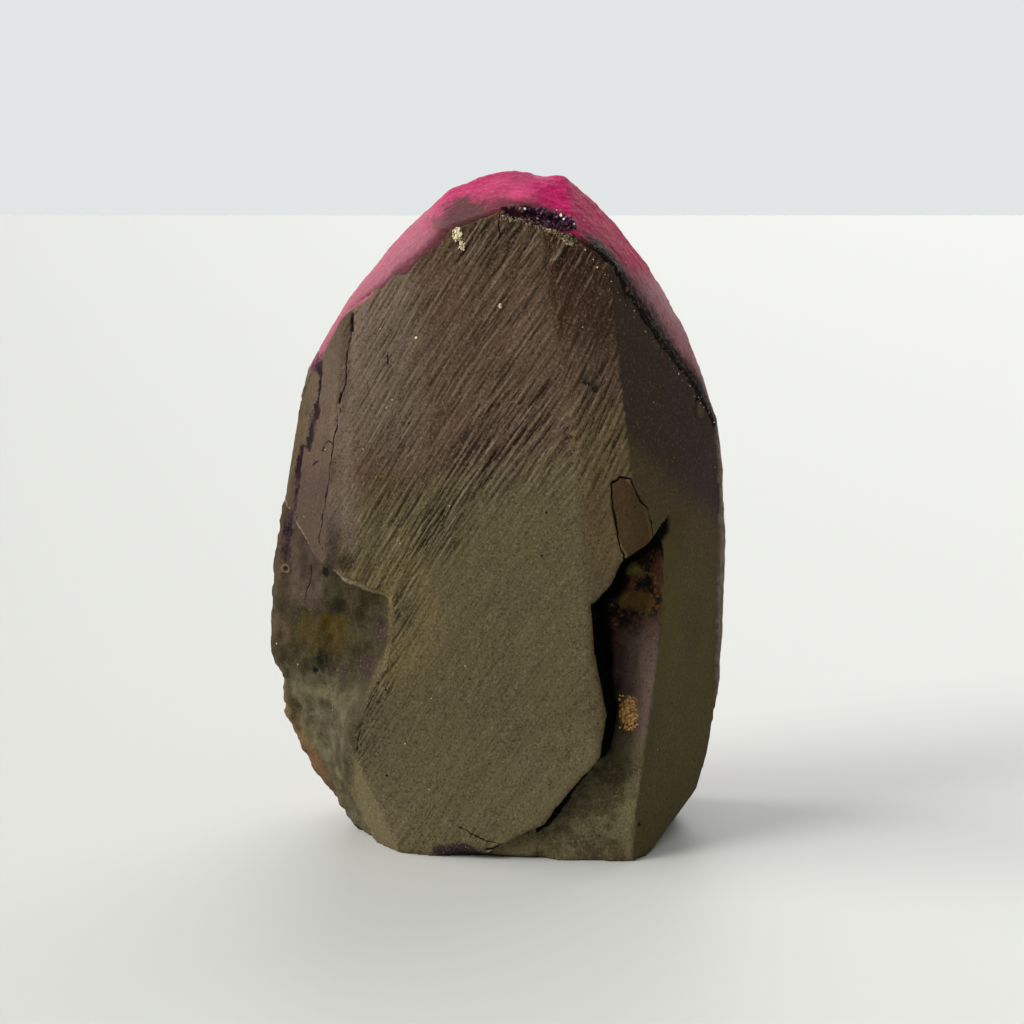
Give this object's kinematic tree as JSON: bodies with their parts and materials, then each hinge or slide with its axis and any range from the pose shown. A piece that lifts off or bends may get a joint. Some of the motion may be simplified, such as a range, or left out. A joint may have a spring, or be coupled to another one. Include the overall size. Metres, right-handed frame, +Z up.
{
  "type": "standing pink amethyst cluster",
  "caption": "Standing pink amethyst cluster with a sawn base: ground basalt matrix behind, a quartz rind and pointed crystals in front, for resting upright on a shelf.",
  "frame": {"origin": "middle of the bounding box, on the sawn base", "axes": "+Z up; +Y the way the crystals point; -Y the ground basalt back; +X to the right seen from the back"},
  "size_m": [0.0768, 0.0452, 0.11],
  "materials": {
    "basalt": "matt, coarsely ground, grey-brown above and olive below",
    "pink_amethyst": "see-through pink crystals with bright flat faces, and a milky pink ground rim"
  },
  "bodies": {
    "root": {"basalt_matrix": "basalt", "pink_amethyst_crust": "pink_amethyst"}
  },
  "joints": []
}
